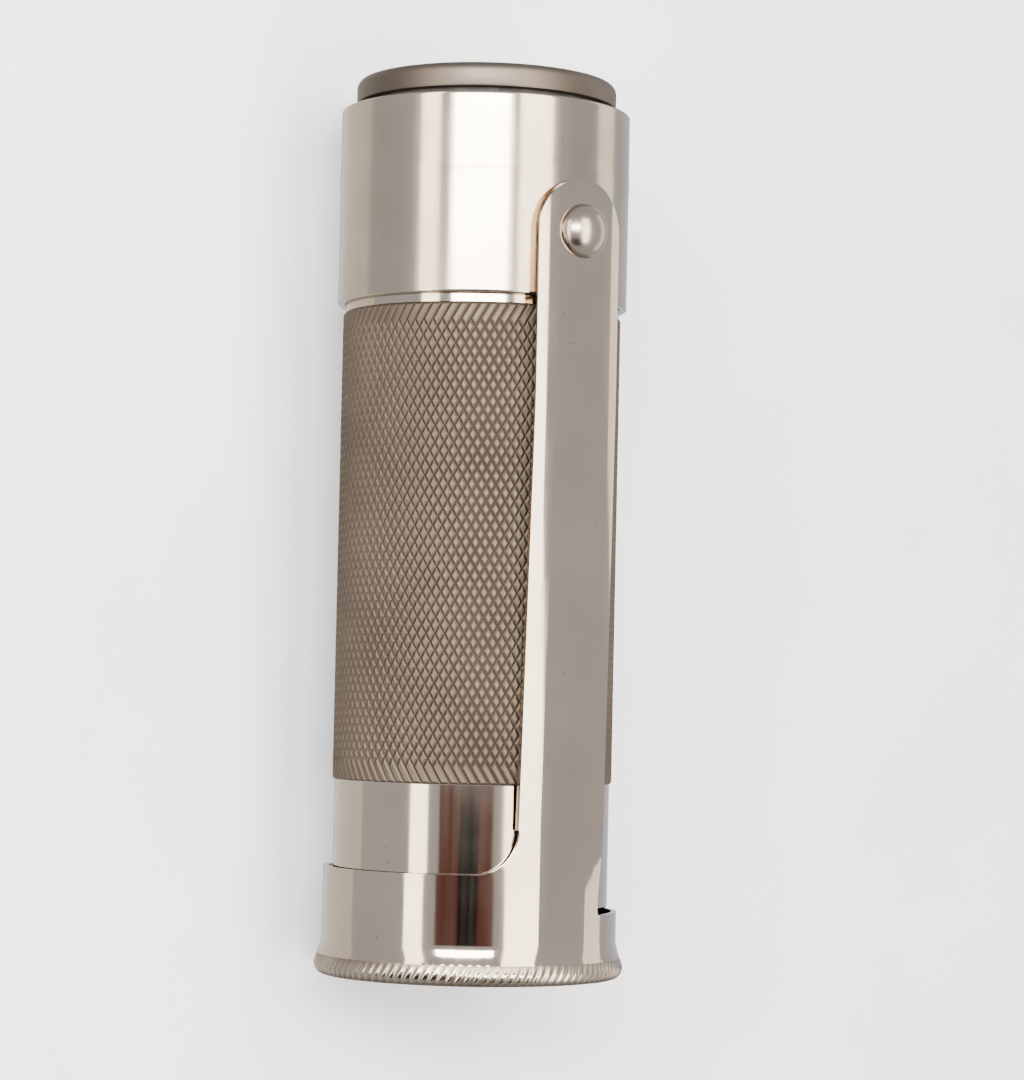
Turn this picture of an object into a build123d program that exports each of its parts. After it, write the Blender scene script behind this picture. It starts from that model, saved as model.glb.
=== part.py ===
from build123d import *
from math import cos, pi, sin, sqrt
import os

# Pocket petrol lighter with a swing-arm cap, lying on its side as it is laid down. +Z is up and passes
# through the arm's rivet, +Y points towards the base plug, and the cap is at the -Y end. The origin is on
# the surface it lies on, under the middle of its length. Millimetres.
#
# A place along the lighter is a "station": the distance from the open end of the base band, towards the
# cap. The cap swings about the rivet towards -X, the leading side. On the +X side, the trailing side, its
# wall is cut back, so that it passes over the end of the tube.

os.makedirs("parts", exist_ok=True)

# ---- driving dimensions ----------------------------------------------------------------------------
# tube and base band
body_radius = 9.5  # outside of the plain tube
tube_wall = 0.4
knurl_height = 0.15  # the rolled grip stands this far above the plain tube
tank_length = 46.35  # band's open end to the end of the grip
guard_length = 8.45  # plain end of the tube, which shields the flame
tube_inset = 0.3  # tube's base end, inside the band's open end
band_length = 13.55
band_wall = 0.58
grip_gap = 0.6  # plain strip between the band and the grip
edge_round = 0.2

# arm and cap
sheet = 0.35  # metal of the cap
cap_clearance = 0.3  # between the tube and the inside of the cap
cap_overlap = 2.5  # how far the cap's leading wall covers the tube
pass_gap = 0.3  # between the tube's end and the cap's cut-back wall
cap_depth = 4.15  # tube's end to the inside of the end disc
end_disc_thickness = 0.7
rim_swell = 0.51  # rim above the cap's wall
rim_width = 1.3
rim_round = 0.4
flare_length = 1.4
arm_width = 7.0
arm_thickness = 0.6  # in the middle, over the rivet
arm_edge = 0.15  # thickness at its edges, as its outside is curved
arm_lift = 0.15  # spring washer's thickness, between the band and the arm
arm_flat_length = 11.5  # flat stretch beyond the rivet, which turns over the band
arm_corner = 3.0  # corner between the arm and the cap's leading edge
pivot_station = 9.1
rivet_radius = 0.9
rivet_head_radius = 1.85
rivet_head_height = 1.25
pad_radius = 8.2
pad_holder_wall = 0.3
pad_dip = 1.2  # pad's face above the tube's end, so that it clears the tube as it swings

# base plug
plug_head_radius = 9.05
plug_head_edge = 1.65
plug_head_round = 0.6
plug_dome = 0.35
plug_stand = 0.5  # groove between the plug's head and the band
plug_thread_radius = 7.5
plug_thread_length = 4.6
plug_wall = 1.1
plug_pitch = 0.75
coin_slot = (12.0, 1.3, 0.8)  # length, width, depth
ring_length = 5.3

# flint, wheel and wick
wheel_radius = 3.5  # thumb discs
striker_radius = 3.2
striker_width = 2.6
striker_teeth = 40
tooth_depth = 0.22
disc_thickness = 0.7
disc_notches = 24
disc_notch_radius = 0.16
wheel_offset = 4.2  # axle and flint tube, below the long axis
wheel_proud = 0.75  # wheel above the tube's end
axle_radius = 0.6
ear_thickness = 0.6
ear_gap = 0.25  # each side of the wheel
ear_width = 4.6
plate_thickness = 1.2
wheel_floor_gap = 0.4  # wheel above the bracket's foot
bracket_thickness = 0.6
bracket_foot = 2.9
screw_radius = 0.55
screw_head = (1.0, 0.6)  # radius, height
flint_radius = 1.25
flint_length = 4.0
flint_tube_bore = 1.35
flint_tube_wall = 0.5
flint_tube_start = 6.6
flint_screw_length = 5.0
flint_screw_head = (1.85, 1.3)  # radius, height
flint_screw_pitch = 0.5
follower_head = 1.4
follower_stem = (0.5, 5.0)  # radius, length
spring_wire = 0.3
spring_turns = 24
wick_radius = 2.1
wick_tube_wall = 0.3
wick_offset = 3.6  # above the long axis
wick_tube_height = 6.4
wick_proud = 1.0
wick_reach = 22.0  # length of wick down in the wadding
thumb_notch = (8.0, 4.4)  # width, depth

# tank filling
felt_thickness = 1.6
wadding_tufts = 3
wadding_gap = 0.2

# fits
turn_fit = 0.05  # a pin or thread that turns in its hole
touch = 0.05  # two pieces that nearly touch

# ---- what follows from them ------------------------------------------------------------------------
bore_radius = body_radius - tube_wall
grip_radius = body_radius + knurl_height
band_radius = body_radius + band_wall
cap_inner = body_radius + cap_clearance
cap_outer = cap_inner + sheet
rim_radius = cap_outer + rim_swell
tube_end = tank_length + guard_length
grip_start = band_length + grip_gap
lead_edge = tube_end - cap_overlap
trail_edge = tube_end + pass_gap
disc_face = tube_end + cap_depth
cap_end = disc_face + end_disc_thickness
plug_end = -(plug_stand + plug_head_edge + plug_dome)
axis_height = rim_radius
base_y = (cap_end + plug_end) / 2

arm_half = arm_width / 2
arm_under = band_radius + arm_lift
arm_top = arm_under + arm_thickness
arm_flat_end = pivot_station + arm_flat_length

wheel_station = tube_end + wheel_proud - wheel_radius
plate_face = wheel_station - wheel_radius - wheel_floor_gap - bracket_thickness
plate_base = plate_face - plate_thickness
wheel_half = striker_width / 2 + disc_thickness
ear_inside = wheel_half + ear_gap
ear_outside = ear_inside + ear_thickness
flint_tube_radius = flint_tube_bore + flint_tube_wall
flint_tip = wheel_station - striker_radius - touch
flint_tube_end = wheel_station - wheel_radius - 3 * touch
flint_base = flint_tip - flint_length
follower_base = flint_base - follower_head
screw_end = flint_tube_start + flint_screw_length
spring_start = screw_end + touch
spring_length = follower_base - touch - spring_start
wick_tube_radius = wick_radius + wick_tube_wall
wick_tube_end = plate_base + wick_tube_height
wick_tip = wick_tube_end + wick_proud
ring_end = tube_inset + ring_length
ring_bore = plug_thread_radius + turn_fit
felt_start = ring_end + touch
wadding_start = felt_start + felt_thickness

# ---- planes ----------------------------------------------------------------------------------------
base_centre = (0, base_y, axis_height)
lengthwise = Plane(base_centre, x_dir=(0, -1, 0), z_dir=(-1, 0, 0))  # (station, height above the axis)
from_above = Plane(base_centre, x_dir=(0, -1, 0), z_dir=(0, 0, 1))  # (station, x)
long_axis = Axis(base_centre, (0, -1, 0))


def across(station):
    """The plane across the lighter at a station. Its normal points towards the cap, and its y is up."""
    return Plane((0, base_y - station, axis_height), x_dir=(1, 0, 0), z_dir=(0, -1, 0))


def upright(station, height):
    """A level plane that faces up, at a station and a height above the long axis."""
    return Plane((0, base_y - station, axis_height + height), x_dir=(1, 0, 0), z_dir=(0, 0, 1))


def save(part, name):
    part.label = name
    export_step(part, f"parts/{name}.step")


# ---- the case: tube, band, filler ring -------------------------------------------------------------
with BuildPart() as tank_tube:
    with BuildSketch(lengthwise):
        with BuildLine():
            Polyline(
                (tube_inset, bore_radius),
                (tube_inset, body_radius),
                (grip_start, body_radius),
                (grip_start, grip_radius),
                (tank_length, grip_radius),
                (tank_length, body_radius),
                (tube_end, body_radius),
                (tube_end, bore_radius),
                close=True,
            )
        make_face()
    revolve(axis=long_axis)
    # rivet hole through the wall on the arm's side
    with BuildSketch(upright(pivot_station, 0)):
        Circle(rivet_radius)
    extrude(amount=band_radius, mode=Mode.SUBTRACT)
    # notch for the thumb, in the flame guard's underside, opposite the arm
    notch_width, notch_depth = thumb_notch
    with BuildSketch(from_above):
        with Locations((tube_end - notch_depth / 2, 0)):
            Rectangle(notch_depth, notch_width)
        fillet(vertices().group_by(Axis.X)[0], notch_width / 4)
    extrude(amount=-body_radius - 1, mode=Mode.SUBTRACT)
save(tank_tube.part, "tank_tube")

with BuildPart() as base_band:
    with BuildSketch(lengthwise):
        with Locations((0, body_radius)):
            Rectangle(band_length, band_wall, align=(Align.MIN, Align.MIN))
        fillet(vertices().group_by(Axis.Z)[-1], edge_round)
    revolve(axis=long_axis)
    with BuildSketch(upright(pivot_station, 0)):
        Circle(rivet_radius)
    extrude(amount=arm_top, mode=Mode.SUBTRACT)
save(base_band.part, "base_band")

with BuildPart() as filler_ring:
    with BuildSketch(across(tube_inset)):
        Circle(bore_radius)
        Circle(ring_bore, mode=Mode.SUBTRACT)
    extrude(amount=ring_length)
save(filler_ring.part, "filler_ring")

# ---- base plug and its gasket ----------------------------------------------------------------------
head_under = -plug_stand
head_top = head_under - plug_head_edge
dome_radius = (plug_head_radius**2 + plug_dome**2) / (2 * plug_dome)
dome_middle = head_top - plug_dome + dome_radius - sqrt(dome_radius**2 - (plug_head_radius / 2) ** 2)
thread_tip = plug_thread_length - plug_stand
thread_depth = plug_pitch * 0.5

with BuildPart() as base_plug:
    with BuildSketch(lengthwise):
        with BuildLine():
            ThreePointArc(
                (plug_end, 0), (dome_middle, plug_head_radius / 2), (head_top, plug_head_radius)
            )
            Polyline(
                (head_top, plug_head_radius),
                (head_under, plug_head_radius),
                (head_under, plug_thread_radius),
                (thread_tip, plug_thread_radius),
                (thread_tip, plug_thread_radius - plug_wall),
                (head_under, plug_thread_radius - plug_wall),
                (head_under, 0),
                (plug_end, 0),
            )
        make_face()
        head_rim = vertices().sort_by_distance((head_top, plug_head_radius))[0]
        fillet(head_rim, plug_head_round)
    revolve(axis=long_axis)
    # thread, drawn as parallel rings at its pitch
    thread_rings = int((thread_tip - tube_inset) / plug_pitch)
    with BuildSketch(lengthwise):
        for turn in range(thread_rings):
            with Locations((tube_inset + (turn + 0.5) * plug_pitch, plug_thread_radius)):
                RegularPolygon(thread_depth / 2, 4, rotation=0)
    revolve(axis=long_axis, mode=Mode.SUBTRACT)
    slot_length, slot_width, slot_depth = coin_slot
    with BuildSketch(across(plug_end)):
        SlotOverall(slot_length, slot_width)
    extrude(amount=slot_depth, mode=Mode.SUBTRACT)
save(base_plug.part, "base_plug")

with BuildPart() as plug_gasket:
    with BuildSketch(across(head_under)):
        Circle((bore_radius + plug_thread_radius) / 2 + 0.2)
        Circle(plug_thread_radius + turn_fit, mode=Mode.SUBTRACT)
    extrude(amount=plug_stand + tube_inset)
save(plug_gasket.part, "plug_gasket")

# ---- tank filling: felt disc, cotton and wick ------------------------------------------------------
with BuildPart() as felt_disc:
    with BuildSketch(across(felt_start)):
        Circle(bore_radius - touch)
        with Locations((0, -wheel_offset)):
            Circle(flint_tube_radius + touch, mode=Mode.SUBTRACT)
    extrude(amount=felt_thickness)
    # clear of the rivet's tail
    with BuildSketch(upright(pivot_station, bore_radius - 2)):
        Circle(rivet_head_radius + touch)
    extrude(amount=3, mode=Mode.SUBTRACT)
save(felt_disc.part, "felt_disc")

wick_foot = wick_tube_end - wick_tube_height - wick_reach
with BuildPart() as cotton_wadding:
    tuft_length = (plate_base - wadding_start) / wadding_tufts - wadding_gap
    for tuft in range(wadding_tufts):
        start = wadding_start + tuft * (tuft_length + wadding_gap)
        with BuildSketch(across(start)):
            Circle(bore_radius - 2 * touch)
            with Locations((0, -wheel_offset)):
                Circle(flint_tube_radius + touch, mode=Mode.SUBTRACT)
        extrude(amount=tuft_length)
    fillet(edges().filter_by(GeomType.CIRCLE).filter_by(lambda e: e.radius > bore_radius / 2), 1.2)
    with BuildSketch(across(wick_foot - touch)):
        with Locations((0, wick_offset)):
            Circle(wick_radius + touch)
    extrude(amount=plate_base - wick_foot + 1, mode=Mode.SUBTRACT)
    with BuildSketch(upright(pivot_station, bore_radius - 2)):
        Circle(rivet_head_radius + touch)
    extrude(amount=3, mode=Mode.SUBTRACT)
save(cotton_wadding.part, "cotton_wadding")

with BuildPart() as wick:
    with BuildSketch(across(wick_foot)):
        with Locations((0, wick_offset)):
            Circle(wick_radius)
    extrude(amount=wick_tip - wick_foot)
    fillet(edges().group_by(Axis.Y)[0], wick_radius / 3)
save(wick.part, "wick")

# ---- burner: plate, wick tube, flint tube and wheel bracket ----------------------------------------
screw_reach = ear_outside + bracket_foot / 2
with BuildPart() as burner_plate:
    with BuildSketch(across(plate_base)):
        Circle(bore_radius)
        with Locations((0, wick_offset)):
            Circle(wick_tube_radius, mode=Mode.SUBTRACT)
        with Locations((0, -wheel_offset)):
            Circle(flint_tube_radius, mode=Mode.SUBTRACT)
        with Locations((screw_reach, -wheel_offset), (-screw_reach, -wheel_offset)):
            Circle(screw_radius, mode=Mode.SUBTRACT)
    extrude(amount=plate_thickness)
save(burner_plate.part, "burner_plate")

with BuildPart() as wick_tube:
    with BuildSketch(across(plate_base)):
        with Locations((0, wick_offset)):
            Circle(wick_tube_radius)
            Circle(wick_radius, mode=Mode.SUBTRACT)
    extrude(amount=wick_tube_height)
save(wick_tube.part, "wick_tube")

with BuildPart() as flint_tube:
    with BuildSketch(across(flint_tube_start)):
        with Locations((0, -wheel_offset)):
            Circle(flint_tube_radius)
            Circle(flint_tube_bore, mode=Mode.SUBTRACT)
    extrude(amount=flint_tube_end - flint_tube_start)
save(flint_tube.part, "flint_tube")

bracket_half = ear_width / 2
with BuildPart() as wheel_bracket:
    # the foot, with a hole for the flint tube and one for each screw
    with BuildSketch(across(plate_face)):
        with Locations((0, -wheel_offset)):
            RectangleRounded(2 * (ear_outside + bracket_foot), ear_width, 1.0)
            Circle(flint_tube_radius + touch, mode=Mode.SUBTRACT)
            with Locations((screw_reach, 0), (-screw_reach, 0)):
                Circle(screw_radius, mode=Mode.SUBTRACT)
    extrude(amount=bracket_thickness)
    # two ears, round at the top about the axle
    for low in (ear_inside, -ear_outside):
        with BuildSketch(lengthwise.offset(low)):
            with BuildLine():
                Polyline(
                    (wheel_station, bracket_half - wheel_offset),
                    (plate_face, bracket_half - wheel_offset),
                    (plate_face, -bracket_half - wheel_offset),
                    (wheel_station, -bracket_half - wheel_offset),
                )
                ThreePointArc(
                    (wheel_station, -bracket_half - wheel_offset),
                    (wheel_station + bracket_half, -wheel_offset),
                    (wheel_station, bracket_half - wheel_offset),
                )
            make_face()
            with Locations((wheel_station, -wheel_offset)):
                Circle(axle_radius, mode=Mode.SUBTRACT)
        extrude(amount=ear_thickness)
save(wheel_bracket.part, "wheel_bracket")

head_radius, head_height = screw_head
with BuildPart() as bracket_screws:
    for side in (1, -1):
        with BuildSketch(across(plate_base)):
            with Locations((side * screw_reach, -wheel_offset)):
                Circle(screw_radius)
        extrude(amount=plate_thickness + bracket_thickness)
        with BuildSketch(across(plate_face + bracket_thickness)):
            with Locations((side * screw_reach, -wheel_offset)):
                Circle(head_radius)
        extrude(amount=head_height)
        with BuildSketch(across(plate_face + bracket_thickness + head_height)):
            with Locations((side * screw_reach, -wheel_offset)):
                Rectangle(head_radius / 3, 2 * head_radius + 1)
        extrude(amount=-head_height / 2, mode=Mode.SUBTRACT)
save(bracket_screws.part, "bracket_screws")

# ---- wheel -----------------------------------------------------------------------------------------
wheel_centre = Plane(
    (0, base_y - wheel_station, axis_height - wheel_offset), x_dir=(0, -1, 0), z_dir=(-1, 0, 0)
)
with BuildPart() as striker_wheel:
    with BuildSketch(wheel_centre.offset(-striker_width / 2)):
        with BuildLine():
            tips = [
                (radius * cos(angle), radius * sin(angle))
                for tooth in range(striker_teeth)
                for radius, angle in (
                    (striker_radius, 2 * pi * tooth / striker_teeth),
                    (striker_radius - tooth_depth, 2 * pi * (tooth + 0.3) / striker_teeth),
                )
            ]
            Polyline(*tips, close=True)
        make_face()
        Circle(axle_radius + turn_fit, mode=Mode.SUBTRACT)
    extrude(amount=striker_width)
save(striker_wheel.part, "striker_wheel")

with BuildPart() as thumb_discs:
    for low in (striker_width / 2, -wheel_half):
        with BuildSketch(wheel_centre.offset(low)):
            Circle(wheel_radius)
            Circle(axle_radius + turn_fit, mode=Mode.SUBTRACT)
            with PolarLocations(wheel_radius, disc_notches):
                Circle(disc_notch_radius, mode=Mode.SUBTRACT)
        extrude(amount=disc_thickness)
save(thumb_discs.part, "thumb_discs")

with BuildPart() as wheel_axle:
    with BuildSketch(wheel_centre.offset(-ear_outside)):
        Circle(axle_radius)
    extrude(amount=2 * ear_outside)
    # peened ends
    for face, way in ((ear_outside, 1), (-ear_outside, -1)):
        with BuildSketch(wheel_centre.offset(face)):
            Circle(axle_radius + 0.3)
        extrude(amount=way * 0.3, taper=30)
save(wheel_axle.part, "wheel_axle")

# ---- flint, follower, spring and screw -------------------------------------------------------------
with BuildPart() as flint:
    with BuildSketch(across(flint_base)):
        with Locations((0, -wheel_offset)):
            Circle(flint_radius)
    extrude(amount=flint_length)
    chamfer(edges().group_by(Axis.Y)[-1], 0.15)
save(flint.part, "flint")

stem_radius, stem_length = follower_stem
with BuildPart() as flint_follower:
    with BuildSketch(across(follower_base)):
        with Locations((0, -wheel_offset)):
            Circle(flint_radius)
    extrude(amount=follower_head)
    with BuildSketch(across(follower_base - stem_length)):
        with Locations((0, -wheel_offset)):
            Circle(stem_radius)
    extrude(amount=stem_length)
save(flint_follower.part, "flint_follower")

coil_radius = flint_tube_bore - 2 * touch - spring_wire / 2
coil_height = spring_length - spring_wire
with BuildPart() as flint_spring:
    spring_foot = (0, base_y - spring_start - spring_wire / 2, axis_height - wheel_offset)
    with BuildLine():
        coil = Helix(coil_height / spring_turns, coil_height, coil_radius, spring_foot, (0, -1, 0))
    with BuildSketch(Plane(coil @ 0, z_dir=coil % 0)):
        Circle(spring_wire / 2)
    sweep(is_frenet=True)
save(flint_spring.part, "flint_spring")

screw_head_radius, screw_head_height = flint_screw_head
with BuildPart() as flint_screw:
    with BuildSketch(across(flint_tube_start - screw_head_height)):
        with Locations((0, -wheel_offset)):
            Circle(screw_head_radius)
    extrude(amount=screw_head_height)
    chamfer(edges().group_by(Axis.Y)[-1], 0.2)
    with BuildSketch(across(flint_tube_start)):
        with Locations((0, -wheel_offset)):
            Circle(flint_tube_bore - turn_fit)
    extrude(amount=flint_screw_length)
    # thread, drawn as parallel grooves at its pitch
    for turn in range(int(flint_screw_length / flint_screw_pitch) - 1):
        with BuildSketch(across(flint_tube_start + (turn + 0.75) * flint_screw_pitch)):
            with Locations((0, -wheel_offset)):
                Circle(flint_tube_bore)
                Circle(flint_tube_bore - turn_fit - flint_screw_pitch / 2, mode=Mode.SUBTRACT)
        extrude(amount=flint_screw_pitch / 2, mode=Mode.SUBTRACT)
    with BuildSketch(across(flint_tube_start - screw_head_height)):
        with Locations((0, -wheel_offset)):
            Rectangle(2 * screw_head_radius + 1, 0.6)
    extrude(amount=0.6, mode=Mode.SUBTRACT)
save(flint_screw.part, "flint_screw")

# ---- rivet and washers -----------------------------------------------------------------------------
head_dome = (rivet_head_radius**2 + rivet_head_height**2) / (2 * rivet_head_height)
tail_height = 0.6
backing_thickness = 0.3
backing_face = sqrt(bore_radius**2 - rivet_head_radius**2)  # where a flat washer meets the round wall
with BuildPart() as arm_rivet:
    seat = arm_top + touch / 2
    tail = backing_face - backing_thickness - tail_height
    side_view = Plane((0, base_y - pivot_station, axis_height), x_dir=(1, 0, 0), z_dir=(0, -1, 0))
    with BuildSketch(side_view):
        with BuildLine():
            Polyline(
                (0, seat + rivet_head_height),
                (0, tail),
                (rivet_radius + 0.4, tail),
                (rivet_radius + 0.4, tail + tail_height),
                (rivet_radius, tail + tail_height),
                (rivet_radius, seat),
                (rivet_head_radius, seat),
            )
            RadiusArc((rivet_head_radius, seat), (0, seat + rivet_head_height), -head_dome)
        make_face()
    revolve(axis=Axis((0, base_y - pivot_station, axis_height), (0, 0, 1)))
save(arm_rivet.part, "arm_rivet")

with BuildPart() as backing_washer:
    with BuildSketch(upright(pivot_station, backing_face - backing_thickness)):
        Circle(rivet_head_radius)
        Circle(rivet_radius, mode=Mode.SUBTRACT)
    extrude(amount=backing_thickness)
save(backing_washer.part, "backing_washer")

with BuildPart() as arm_washer:
    with BuildSketch(upright(pivot_station, band_radius)):
        Circle(rivet_head_radius + 0.4)
        Circle(rivet_radius + turn_fit, mode=Mode.SUBTRACT)
    extrude(amount=arm_lift - touch / 2)
save(arm_washer.part, "arm_washer")

# ---- cap: arm, cup, rim, end disc, pad holder and pad ----------------------------------------------
web_start = lead_edge - arm_corner
wall_sag = cap_outer - sqrt(cap_outer**2 - arm_half**2)
bore_sag = cap_inner - sqrt(cap_inner**2 - arm_half**2)
arm_sag = arm_thickness - arm_edge
level = 0.01  # nearly flat, so that the arm's sections keep the same number of edges
seam = 0.02  # where it meets the cap's wall, the arm lies this far inside the wall's faces


def half_arc(edge, crown, sag):
    """A point midway on the arc that falls from a level crown by sag at the edge."""
    radius = (edge**2 + sag**2) / (2 * sag)
    return (edge / 2, crown - radius + sqrt(radius**2 - edge**2 / 4))


flare_start = cap_end - rim_width - flare_length
with BuildPart() as cup:
    with BuildSketch(lengthwise):
        with BuildLine():
            Line((web_start, cap_inner), (web_start, cap_outer))
            Line((web_start, cap_outer), (flare_start, cap_outer))
            Spline(
                (flare_start, cap_outer),
                (cap_end - rim_width, rim_radius),
                tangents=((1, 0), (1, 0)),
            )
            Line((cap_end - rim_width, rim_radius), (cap_end - rim_round, rim_radius))
            TangentArc(
                (cap_end - rim_round, rim_radius), (cap_end, rim_radius - rim_round), tangent=(1, 0)
            )
            Line((cap_end, rim_radius - rim_round), (cap_end, cap_inner))
            Line((cap_end, cap_inner), (web_start, cap_inner))
        make_face()
    revolve(axis=long_axis)
    # upper half: leading edge with its corner, room for the arm, trailing edge
    far = rim_radius + 1
    with BuildSketch(from_above):
        with BuildLine():
            Polyline(
                (web_start - 1, -far),
                (lead_edge, -far),
                (lead_edge, -arm_half - arm_corner),
            )
            RadiusArc((lead_edge, -arm_half - arm_corner), (web_start, -arm_half), -arm_corner)
            Polyline((web_start, -arm_half), (web_start - 1, -arm_half), (web_start - 1, -far))
        make_face()
        with Locations((web_start - 1, -arm_half)):
            Rectangle(
                trail_edge - web_start + 1, far + arm_half, align=(Align.MIN, Align.MIN)
            )
    extrude(amount=far, mode=Mode.SUBTRACT)
    # lower half: leading edge, and the step to the trailing edge
    with BuildSketch(from_above):
        with Locations((web_start - 1, -far)):
            Rectangle(lead_edge - web_start + 1, 2 * far, align=(Align.MIN, Align.MIN))
        with Locations((web_start - 1, 0)):
            Rectangle(trail_edge - web_start + 1, far, align=(Align.MIN, Align.MIN))
    extrude(amount=-far, mode=Mode.SUBTRACT)

with BuildPart() as cap_arm:
    # end of the arm: level below, curved above, round about the rivet
    with BuildSketch(upright(pivot_station, arm_under)):
        Circle(arm_half)
        with Locations((0, -arm_flat_length / 2)):
            Rectangle(arm_width, arm_flat_length)
    extrude(amount=arm_thickness)
    with BuildSketch(across(pivot_station - arm_half)):
        with BuildLine():
            ThreePointArc((-arm_half, arm_top - arm_sag), (0, arm_top), (arm_half, arm_top - arm_sag))
            Polyline(
                (arm_half, arm_top - arm_sag),
                (arm_half, arm_under),
                (-arm_half, arm_under),
                (-arm_half, arm_top - arm_sag),
            )
        make_face()
    extrude(amount=arm_flat_length + arm_half, mode=Mode.INTERSECT)
    # long stretch down to the cap's wall, then along it: the leading half takes the wall's curve, and the
    # trailing half stays level below, as it passes over the tube
    on_band = (arm_top, arm_sag, arm_sag, arm_under, level)
    on_wall = (cap_outer - seam, wall_sag, sheet - arm_edge, cap_inner + seam, bore_sag)
    for stations in (
        ((arm_flat_end, on_band), (web_start, on_wall)),
        ((web_start, on_wall), (trail_edge, on_wall)),
    ):
        for station, (top, lead_sag, trail_sag, under, under_sag) in stations:
            with BuildSketch(across(station)):
                with BuildLine():
                    ThreePointArc(
                        (-arm_half, top - lead_sag), half_arc(-arm_half, top, lead_sag), (0, top)
                    )
                    ThreePointArc(
                        (0, top), half_arc(arm_half, top, trail_sag), (arm_half, top - trail_sag)
                    )
                    Polyline((arm_half, top - trail_sag), (arm_half, under), (0, under))
                    ThreePointArc(
                        (0, under), half_arc(-arm_half, under, under_sag), (-arm_half, under - under_sag)
                    )
                    Line((-arm_half, under - under_sag), (-arm_half, top - lead_sag))
                make_face()
        loft(ruled=True)
    # the arm's trailing corner runs out on the cap's wall
    with BuildSketch(across(trail_edge)):
        Polygon(
            (0, cap_inner + 0.1),
            (0, cap_outer - 0.05),
            (arm_half, cap_inner + arm_edge),
            (arm_half, cap_inner),
            align=None,
        )
    with BuildSketch(across(flare_start)):
        Polygon(
            (0, cap_inner + 0.1),
            (0, cap_outer - 0.05),
            (arm_half, cap_outer - wall_sag - 0.05),
            (arm_half, cap_outer - wall_sag - 0.15),
            align=None,
        )
    loft(ruled=True)
    add(cup.part)
    with BuildSketch(upright(pivot_station, 0)):
        Circle(rivet_radius + turn_fit)
    extrude(amount=arm_top + 1, mode=Mode.SUBTRACT)
save(cap_arm.part, "cap_arm")

with BuildPart() as cap_end_disc:
    with BuildSketch(across(disc_face)):
        Circle(cap_inner)
    extrude(amount=end_disc_thickness)
save(cap_end_disc.part, "cap_end_disc")

pad_face = tube_end + pad_dip
holder_radius = pad_radius + pad_holder_wall
with BuildPart() as pad_holder:
    with BuildSketch(across(disc_face - pad_holder_wall)):
        Circle(holder_radius)
    extrude(amount=pad_holder_wall)
    with BuildSketch(across(pad_face + 0.6)):
        Circle(holder_radius)
        Circle(pad_radius, mode=Mode.SUBTRACT)
    extrude(amount=disc_face - pad_holder_wall - pad_face - 0.6)
save(pad_holder.part, "pad_holder")

with BuildPart() as snuffer_pad:
    with BuildSketch(across(pad_face)):
        Circle(pad_radius)
    extrude(amount=disc_face - pad_holder_wall - pad_face)
    fillet(edges().group_by(Axis.Y)[-1], 0.4)
save(snuffer_pad.part, "snuffer_pad")
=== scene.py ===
from math import atan2, cos, pi, radians, sin, sqrt

import bmesh
import bpy
from mathutils import Matrix, Vector, noise


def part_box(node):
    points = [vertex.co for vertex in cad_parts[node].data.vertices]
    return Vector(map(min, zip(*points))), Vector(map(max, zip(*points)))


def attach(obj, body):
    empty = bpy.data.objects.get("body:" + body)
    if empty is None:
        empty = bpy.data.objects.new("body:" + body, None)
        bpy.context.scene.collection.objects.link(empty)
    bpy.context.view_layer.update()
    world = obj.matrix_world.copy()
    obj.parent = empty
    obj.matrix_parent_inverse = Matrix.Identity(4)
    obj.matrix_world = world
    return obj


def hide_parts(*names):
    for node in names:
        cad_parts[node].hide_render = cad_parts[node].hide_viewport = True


# Pocket petrol lighter with a swing-arm cap. It lies along Y with its cap end at -Y and its arm on top.
# Sizes here are in millimetres. A place along the lighter is a station, counted from the base band's open
# end towards the cap, and a height is counted from the long axis.

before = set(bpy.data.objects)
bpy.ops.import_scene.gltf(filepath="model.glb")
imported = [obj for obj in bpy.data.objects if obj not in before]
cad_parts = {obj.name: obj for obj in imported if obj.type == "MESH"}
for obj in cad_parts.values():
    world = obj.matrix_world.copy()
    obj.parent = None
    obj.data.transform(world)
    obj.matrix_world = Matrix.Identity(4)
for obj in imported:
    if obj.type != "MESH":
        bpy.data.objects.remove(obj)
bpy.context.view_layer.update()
mm = 0.001
weld = 1e-7  # points closer than this are one point
packedWeld = 2e-6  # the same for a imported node, whose points are rounded
pole = 0.02  # how far from the axis an open profile starts and ends

bandLow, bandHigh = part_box("base_band")
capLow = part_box("cap_arm")[0]
baseY = bandHigh.y / mm
axisHeight = (bandLow.z + bandHigh.z) / 2 / mm
bandLength = (bandHigh.y - bandLow.y) / mm
capEnd = baseY - capLow.y / mm


# ---- small helpers

def place(x, station, height):
    return Vector((x, baseY - station, axisHeight + height)) * mm


def axisCentre(y):
    # the point of the long axis level with y, in millimetres
    return Vector((0, y, axisHeight))


def stationOf(vert):
    return baseY - vert.co.y / mm


def finishPiece(bm, name, body, replaced, material, smoothAngle):
    # cleans the mesh, shades it smooth up to an angle, and hands it to the frame
    bmesh.ops.remove_doubles(bm, verts=bm.verts, dist=weld)
    bmesh.ops.recalc_face_normals(bm, faces=bm.faces)
    for face in bm.faces:
        face.smooth = True
    for edge in bm.edges:
        edge.smooth = len(edge.link_faces) == 2 and edge.calc_face_angle(pi) < radians(smoothAngle)
    mesh = bpy.data.meshes.new(name)
    bm.to_mesh(mesh)
    bm.free()
    mesh.materials.append(material)
    piece = bpy.data.objects.new(name, mesh)
    bpy.context.scene.collection.objects.link(piece)
    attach(piece, body)
    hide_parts(*replaced)
    return piece


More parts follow.
